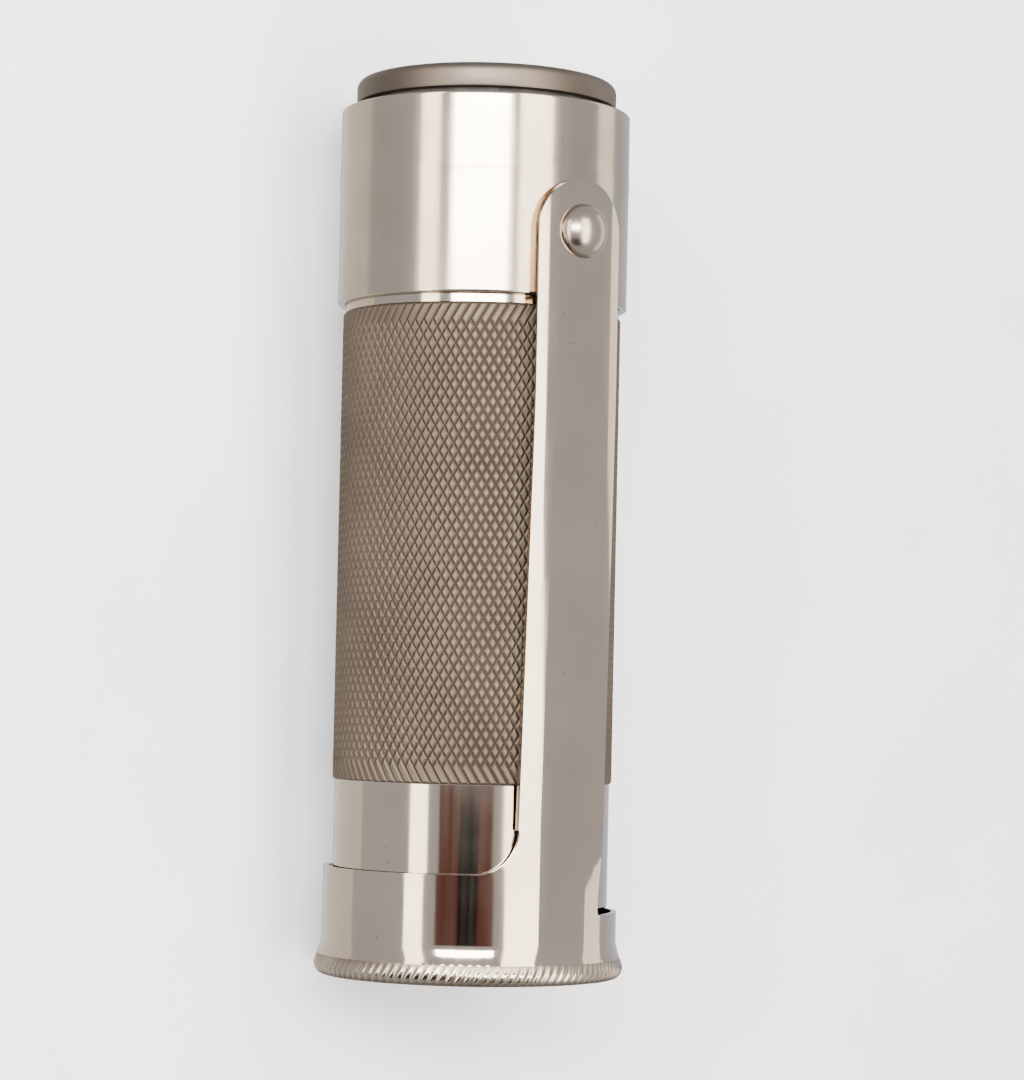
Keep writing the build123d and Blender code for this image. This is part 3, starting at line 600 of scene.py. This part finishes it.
def makeCap():
    c = cap
    half = pi * c["wallOut"]
    webStart = c["lead"] - c["corner"]
    # the flat blank: leading edge, fillet into the arm, the arm's round end, and the trailing edge
    outline = [(-half, c["flare"]), (-half, c["lead"]), (-c["armHalf"] - c["corner"], c["lead"])]
    for step in range(1, 13):
        a = pi / 2 * step / 12
        outline.append((-c["armHalf"] - c["corner"] * (1 - sin(a)), webStart + c["corner"] * cos(a)))
    for step in range(25):
        a = pi * step / 24
        outline.append((-c["armHalf"] * cos(a), c["pivot"] - c["armHalf"] * sin(a)))
    outline += [(c["armHalf"], c["trail"] - 0.25), (c["armHalf"] + 0.25, c["trail"]), (half, c["trail"]),
                (half, c["flare"])]
    bm = bmesh.new()
    bm.faces.new([bm.verts.new((u, s, 0)) for u, s in outline])
    # cuts make it fine enough to bend: columns round the wall and across the arm, rows closer at both ends
    columns = [-half + 2 * half * i / c["columns"] for i in range(1, c["columns"])]
    columns += [-3.2, -2.8, -2.0, -1.2, -0.4, 0.4, 1.2, 2.0, 2.8, 3.2]
    rows = [c["pivot"] - 3.2 + 0.5 * i for i in range(24)] + [18 + 2.0 * i for i in range(15)]
    rows += [c["flare"] - 9 + 0.35 * i for i in range(26)] + [c["trail"]]
    cuts = [(Vector((x, 0, 0)), Vector((1, 0, 0))) for x in columns]
    cuts += [(Vector((0, y, 0)), Vector((0, 1, 0))) for y in rows]
    for point, normal in cuts:
        bmesh.ops.bisect_plane(bm, geom=bm.verts[:] + bm.edges[:] + bm.faces[:], dist=1e-5, plane_co=point,
                               plane_no=normal)
    inner = bm.verts[:]
    made = bmesh.ops.extrude_face_region(bm, geom=bm.faces[:], use_keep_orig=True)["geom"]
    outer = [v for v in made if isinstance(v, bmesh.types.BMVert)]
    # the blank's two ends meet under the tube, and are joined there
    seam = [f for f in bm.faces
            if all(abs(abs(v.co.x) - half) < 1e-4 and v.co.y > c["trail"] - 1e-4 for v in f.verts)]
    bmesh.ops.delete(bm, geom=seam, context="FACES")
    for verts, outside in ((inner, False), (outer, True)):
        for vert in verts:
            vert.co = capPoint(vert.co.x, vert.co.y, outside)
    # flare and rim: a turned ring that swells into a bead, its crown milled with slanting teeth
    ring = [(c["flare"] - c["overlap"], c["wallOut"])]
    crown = c["end"] - c["bead"]
    for step in range(1, 13):
        t = step / 12
        ring.append((c["flare"] + (crown - c["flare"]) * t,
                     c["wallOut"] + (c["rim"] - c["wallOut"]) * (0.35 * t * t * t + 0.65 * t * t * (3 - 2 * t))))
    for step in range(1, 11):
        t = step / 10
        ring.append((crown + c["bead"] * sin(pi / 2 * t), c["rim"] - c["beadDrop"] * (1 - cos(pi / 2 * t))))
    ring += [(c["end"], c["wallIn"] + 0.12), (c["end"] - 0.1, c["wallIn"]),
             (c["flare"] - c["overlap"], c["wallIn"])]
    rim = bmesh.new()
    turned(rim, ring, c["teeth"] * 8)
    for vert in rim.verts:
        offset = vert.co / mm - axisCentre(vert.co.y / mm)
        offset.y = 0
        station = stationOf(vert)
        if offset.length > c["wallOut"] + 0.02 and station > c["flare"] + 0.5:
            angle = atan2(offset.x, offset.z)
            across = (station - crown) / c["bead"]
            wave = 0.5 + 0.5 * cos(c["teeth"] * angle + c["toothLean"] * across)
            bite = max(0, 1 - ((across - 0.15) / 0.85) ** 2)
            radius = offset.length - c["toothDepth"] * wave * sqrt(bite)
            offset = offset.normalized() * radius
            vert.co = place(offset.x, station, offset.z)
    shell = bpy.data.meshes.new("rim")
    rim.to_mesh(shell)
    rim.free()
    bm.from_mesh(shell)
    piece = finishPiece(bm, "capAndArm", "cap", ["cap_arm"], polishedPlate, 40)
    piece.data.materials.append(milledPlate)
    for face in piece.data.polygons:
        if baseY - face.center.y / mm > c["rimStart"] - 0.05:
            face.material_index = 1


makeCap()
print("cap and arm made")

endDisc = {"start": capEnd - 0.7, "end": capEnd, "radius": 9.8, "dish": 0.25, "dishIn": 6.4, "dishOut": 8.0,
           "round": 0.15}


def makeEndDisc():
    d = endDisc
    bm = bmesh.new()
    face = [(d["end"] - d["dish"], pole), (d["end"] - d["dish"], 2.0)]
    for step in range(9):
        t = step / 8
        radius = d["dishIn"] + (d["dishOut"] - d["dishIn"]) * t
        face.append((d["end"] - d["dish"] * (1 - smoothStep(t, 0, 1)), radius))
    face += outerCorners([(d["end"], d["dishOut"]), (d["end"], d["radius"]), (d["start"], d["radius"]),
                          (d["start"], d["dishOut"])], d["round"])
    face += [(d["start"], pole)]
    turned(bm, face, closed=False)
    finishPiece(bm, "capEndDisc", "cap", ["cap_end_disc"], handledPlate, 35)


makeEndDisc()
smoothCopy("pad_holder", "padHolder", "cap", bareBrass)

pad = {
    "face": capEnd - 3.65, "back": capEnd - 1.0, "radius": 8.2, "round": 0.45, "fuzz": 0.035, "dent": 0.12,
    "dentHeight": 3.6, "dentInner": 1.6, "dentOuter": 2.8,
}


def makePad():
    p = pad
    bm = bmesh.new()
    profile = [(p["face"], 0.05)] + [(p["face"], r * 0.5) for r in range(1, 16)]
    profile += outerCorners([(p["face"], 7.5), (p["face"], p["radius"]), (p["back"], p["radius"]),
                             (p["back"], 7.5)], p["round"])
    profile += [(p["back"], 0.05)]
    turned(bm, profile, 96, closed=False)
    # soft hairs, and the shallow dent that the wick tube's mouth leaves
    for vert in bm.verts:
        if stationOf(vert) < p["face"] + 0.3:
            spot = vert.co / mm
            away = (spot - Vector((0, spot.y, axisHeight + p["dentHeight"]))).length
            dent = p["dent"] * (1 - smoothStep(away, p["dentInner"], p["dentOuter"]))
            vert.co.y -= (dent + p["fuzz"] * (1 + noise.noise(spot * 3.0))) * mm
    piece = finishPiece(bm, "snufferPad", "cap", ["snuffer_pad"], feltCloth, 50)


makePad()

# ---- rivet

rivet = {"head": 1.85, "height": 1.25, "sunk": 0.1, "shank": 0.9, "tailLip": 0.4, "tailLength": 0.6, "pivot": 9.1}


def makeRivet():
    r = rivet
    low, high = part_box("arm_rivet")
    tail = low.z / mm - axisHeight
    seat = high.z / mm - axisHeight - r["height"]
    profile = [(pole, seat + r["height"])]
    for step in range(1, 21):
        a = pi / 2 * step / 20
        profile.append((r["head"] * sin(a), seat - r["sunk"] + (r["height"] + r["sunk"]) * cos(a)))
    tailRadius, tailTop = r["shank"] + r["tailLip"], tail + r["tailLength"]
    profile += [(r["shank"], seat - 0.14), (r["shank"], tailTop), (tailRadius, tailTop), (tailRadius, tail),
                (pole, tail)]
    bm = bmesh.new()
    verts = [bm.verts.new(place(x, r["pivot"], z)) for x, z in profile]
    spun(bm, verts, place(0, r["pivot"], 0), (0, 0, 1), 64, closed=False)
    finishPiece(bm, "armRivet", "case", ["arm_rivet"], rivetPlate, 40)


makeRivet()
smoothCopy("arm_washer", "armWasher", "case", brightSteel)
smoothCopy("backing_washer", "backingWasher", "case", brightSteel)
print("rivet made")

# ---- burner, wheel and flint

for node, name, body, slot, material in (
        ("burner_plate", "burnerPlate", "case", "bare_brass", bareBrass),
        ("wick_tube", "wickTube", "case", "bare_brass", bareBrass),
        ("flint_tube", "flintTube", "case", "bare_brass", bareBrass),
        ("wheel_bracket", "wheelBracket", "case", "nickel_plate", handledPlate),
        ("bracket_screws", "bracketScrews", "case", "bright_steel", brightSteel),
        ("wheel_axle", "wheelAxle", "case", "bright_steel", brightSteel),
        ("striker_wheel", "strikerWheel", "wheel", "blued_steel", bladeSteel),
        ("thumb_discs", "thumbDiscs", "wheel", "bright_steel", brightSteel),
        ("flint", "flintRod", "flint_stack", "ferrocerium", flintAlloy),
        ("flint_follower", "flintFollower", "flint_stack", "bare_brass", bareBrass),
        ("flint_spring", "flintSpring", "screw_travel", "bright_steel", brightSteel),
        ("flint_screw", "flintScrew", "screw", "bare_brass", bareBrass)):
    smoothCopy(node, name, body, material)
print("burner made")

wick = {"strands": 9, "radius": 2.08, "twist": 2.6, "offset": 3.6, "bulge": 0.16, "fray": 0.35, "tipTaper": 0.1}


def makeWick():
    w = wick
    low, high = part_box("wick")
    foot, tip = baseY - high.y / mm, baseY - low.y / mm
    bm = bmesh.new()
    bmesh.ops.create_cone(bm, cap_ends=True, cap_tris=False, segments=72, radius1=1, radius2=1, depth=1)
    lengthwise = [e for e in bm.edges if abs(e.verts[0].co.z - e.verts[1].co.z) > 0.5]
    bmesh.ops.subdivide_edges(bm, edges=lengthwise, cuts=110, use_grid_fill=True)
    for _ in range(3):
        caps = [f for f in bm.faces if len(f.verts) > 8]
        bmesh.ops.inset_region(bm, faces=caps, thickness=0.22, use_even_offset=False)
    for vert in bm.verts:
        t = vert.co.z + 0.5
        station = foot + (tip - foot) * t
        flat = Vector((vert.co.x, vert.co.y, 0))
        angle = atan2(flat.y, flat.x)
        # two sets of strands, wound opposite ways, pass over each other
        wind = station * w["twist"]
        over = cos(w["strands"] * angle + wind) * cos(w["strands"] * angle - wind)
        radius = flat.length * (w["radius"] - w["bulge"] * (0.5 - 0.5 * over))
        fray = w["fray"] * noise.noise(Vector((flat.x * 3, flat.y * 3, 4.0))) if t > 0.999 else 0
        narrow = 1 - w["tipTaper"] * smoothStep(station, tip - 0.8, tip)
        way = flat.normalized()
        vert.co = place(way.x * radius * narrow, station + min(fray, 0), w["offset"] + way.y * radius * narrow)
    finishPiece(bm, "burnerWick", "case", ["wick"], wickBraid, 60)


makeWick()

wadding = (
    # node, name, slot, material, depth of the lumps, lumps per millimetre
    ("cotton_wadding", "cottonTufts", "cotton", cottonWool, 0.22, 0.5),
    ("felt_disc", "feltDisc", "felt", feltCloth, 0.03, 2.0),
)


def makeWadding():
    # three tufts of cotton and the felt over them, hidden in the tank until the plug is out
    for node, name, slot, material, lump, grain in wadding:
        bm = bmesh.new()
        bm.from_mesh(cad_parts[node].data)
        bmesh.ops.remove_doubles(bm, verts=bm.verts, dist=packedWeld)
        bmesh.ops.triangulate(bm, faces=bm.faces[:])
        long = [e for e in bm.edges if e.calc_length() > 2.5 * mm]
        bmesh.ops.subdivide_edges(bm, edges=long, cuts=3)
        bm.normal_update()
        for vert in bm.verts:
            vert.co -= vert.normal * lump * (0.5 + 0.5 * noise.noise(vert.co / mm * grain)) * mm
        finishPiece(bm, name, "case", [node], material, 60)


makeWadding()
print("wick and wadding made")

# ---- floor, light and camera

studio = {
    "floorPale": "#efeeef", "floorDark": "#e8e7e9", "floorSize": 1.2, "mottleScale": 60.0,
    "world": "#eef1f8", "worldStrength": 1.1,
}


def makeFloor():
    # matt white paper: nearly even, with a faint cloudiness
    material, tree, shader, coords = newMaterial("matteFloor")
    mottle = addNode(tree, "ShaderNodeTexNoise", {"Scale": studio["mottleScale"], "Detail": 3.0}, Vector=coords)
    colour = ramp(tree, mottle.outputs["Fac"], [(0.3, studio["floorDark"]), (0.7, studio["floorPale"])])
    tree.links.new(colour, shader.inputs["Base Color"])
    shader.inputs["Roughness"].default_value = 0.6
    bm = bmesh.new()
    bmesh.ops.create_grid(bm, x_segments=1, y_segments=1, size=studio["floorSize"] / 2)
    mesh = bpy.data.meshes.new("floor")
    bm.to_mesh(mesh)
    bm.free()
    mesh.materials.append(material)
    floor = bpy.data.objects.new("floor", mesh)
    bpy.context.scene.collection.objects.link(floor)
    floor.visible_glossy = False  # the metal mirrors the even room light, not the brighter floor


makeFloor()

view = {
    # how far round from the arm the camera looks, its distance from the axis, the station it stands over, how
    # far its aim is shifted, its roll, and its lens
    "armTurn": 38.4, "distance": 229.0, "footStation": 40.05, "right": 2.64, "up": 10.4, "roll": 1.22, "lens": 110,
}


def makeCamera():
    v = view
    turn, roll = radians(v["armTurn"]), radians(v["roll"])
    back = Vector((-sin(turn), 0, cos(turn)))
    side = Vector((cos(turn), 0, sin(turn)))
    along = Vector((0, 1, 0))
    right = side * cos(roll) + along * sin(roll)
    up = along * cos(roll) - side * sin(roll)
    foot = place(0, v["footStation"], 0)
    spot = foot + back * v["distance"] * mm
    aim = foot + (right * v["right"] + up * v["up"]) * mm
    forward = (aim - spot).normalized()
    right = forward.cross(up).normalized()
    up = right.cross(forward)
    data = bpy.data.cameras.new("camera")
    data.lens = v["lens"]
    data.sensor_width = 36
    data.sensor_fit = "AUTO"
    data.clip_start = 0.01
    camera = bpy.data.objects.new("camera", data)
    camera.matrix_world = Matrix.Translation(spot) @ Matrix((right, up, -forward)).transposed().to_4x4()
    bpy.context.scene.collection.objects.link(camera)
    bpy.context.scene.camera = camera
    return back, side


towardsCamera, towardsRight = makeCamera()

lamps = {
    # name: azimuths left and right of the camera, lowest and highest place along Y, distance, brightness, colour
    "windowBox": ((-25, 19), (38, 140), 350, 40, "#ffffff"),
    "leftBox": ((-51, -36), (-300, 330), 420, 10, "#fff6ea"),
    "rightBox": ((27, 54), (-300, 330), 420, 11, "#fff6ea"),
    "farRightBox": ((100, 122), (-300, 330), 420, 2.2, "#fff6ea"),
}
reflectors = {
    # the same for cards that only the metal mirrors: two put the dark streak in the polished end, one darkens
    # the rim's lower edge, and one stands for the floor's glow
    "brownCard": ((-26, 18), (-90, -24), 320, 1.0, "#86514a"),
    "blackCard": ((-9, 6), (-88, -25), 305, 1.0, "#0f0c0d"),
    "lowCard": ((-45, 30), (-560, -150), 330, 1.0, "#26211f"),
    "glowCard": ((-160, -102), (-300, 300), 300, 1.5, "#fffaf2"),
}


def facing(left, right, low, high, distance):
    # the middle, the turn and the size of a rectangle that faces the long axis
    a, b = radians(left), radians(right)
    middle = (a + b) / 2
    out = towardsCamera * cos(middle) + towardsRight * sin(middle)
    width = 2 * distance * sin((b - a) / 2) / cos((b - a) / 2)
    centre = Vector((0, (low + high) / 2, axisHeight)) * mm + out * distance * mm
    turn = Matrix((Vector((0, 1, 0)).cross(out), Vector((0, 1, 0)), out)).transposed().to_4x4()
    return Matrix.Translation(centre) @ turn, width * mm, (high - low) * mm


def makeLamps():
    # soft boxes that light the scene and show in the metal
    for name, ((left, right), (low, high), distance, brightness, colour) in lamps.items():
        matrix, width, length = facing(left, right, low, high, distance)
        data = bpy.data.lights.new(name, "AREA")
        data.shape = "RECTANGLE"
        data.size, data.size_y = width, length
        data.energy = brightness * pi * width * length
        data.color = linear(colour)[:3]
        lamp = bpy.data.objects.new(name, data)
        lamp.matrix_world = matrix
        lamp.visible_camera = False
        bpy.context.scene.collection.objects.link(lamp)


def makeReflectors():
    for name, ((left, right), (low, high), distance, brightness, colour) in reflectors.items():
        matrix, width, length = facing(left, right, low, high, distance)
        bm = bmesh.new()
        bmesh.ops.create_grid(bm, x_segments=1, y_segments=1, size=0.5)
        bmesh.ops.scale(bm, vec=(width, length, 1), verts=bm.verts)
        bmesh.ops.transform(bm, matrix=matrix, verts=bm.verts)
        mesh = bpy.data.meshes.new(name)
        bm.to_mesh(mesh)
        bm.free()
        material, _, shader, _ = newMaterial(name)
        shader.inputs["Base Color"].default_value = (0, 0, 0, 1)
        shader.inputs["Specular IOR Level"].default_value = 0.0
        shader.inputs["Emission Color"].default_value = linear(colour)
        shader.inputs["Emission Strength"].default_value = brightness
        mesh.materials.append(material)
        card = bpy.data.objects.new(name, mesh)
        card.visible_camera = card.visible_diffuse = card.visible_shadow = False
        bpy.context.scene.collection.objects.link(card)


makeLamps()
makeReflectors()
world = bpy.data.worlds.new("studio")
bpy.context.scene.world = world
world.use_nodes = True
sky = world.node_tree.nodes["Background"]
sky.inputs[0].default_value = linear(studio["world"])
sky.inputs[1].default_value = studio["worldStrength"]
print("studio set")
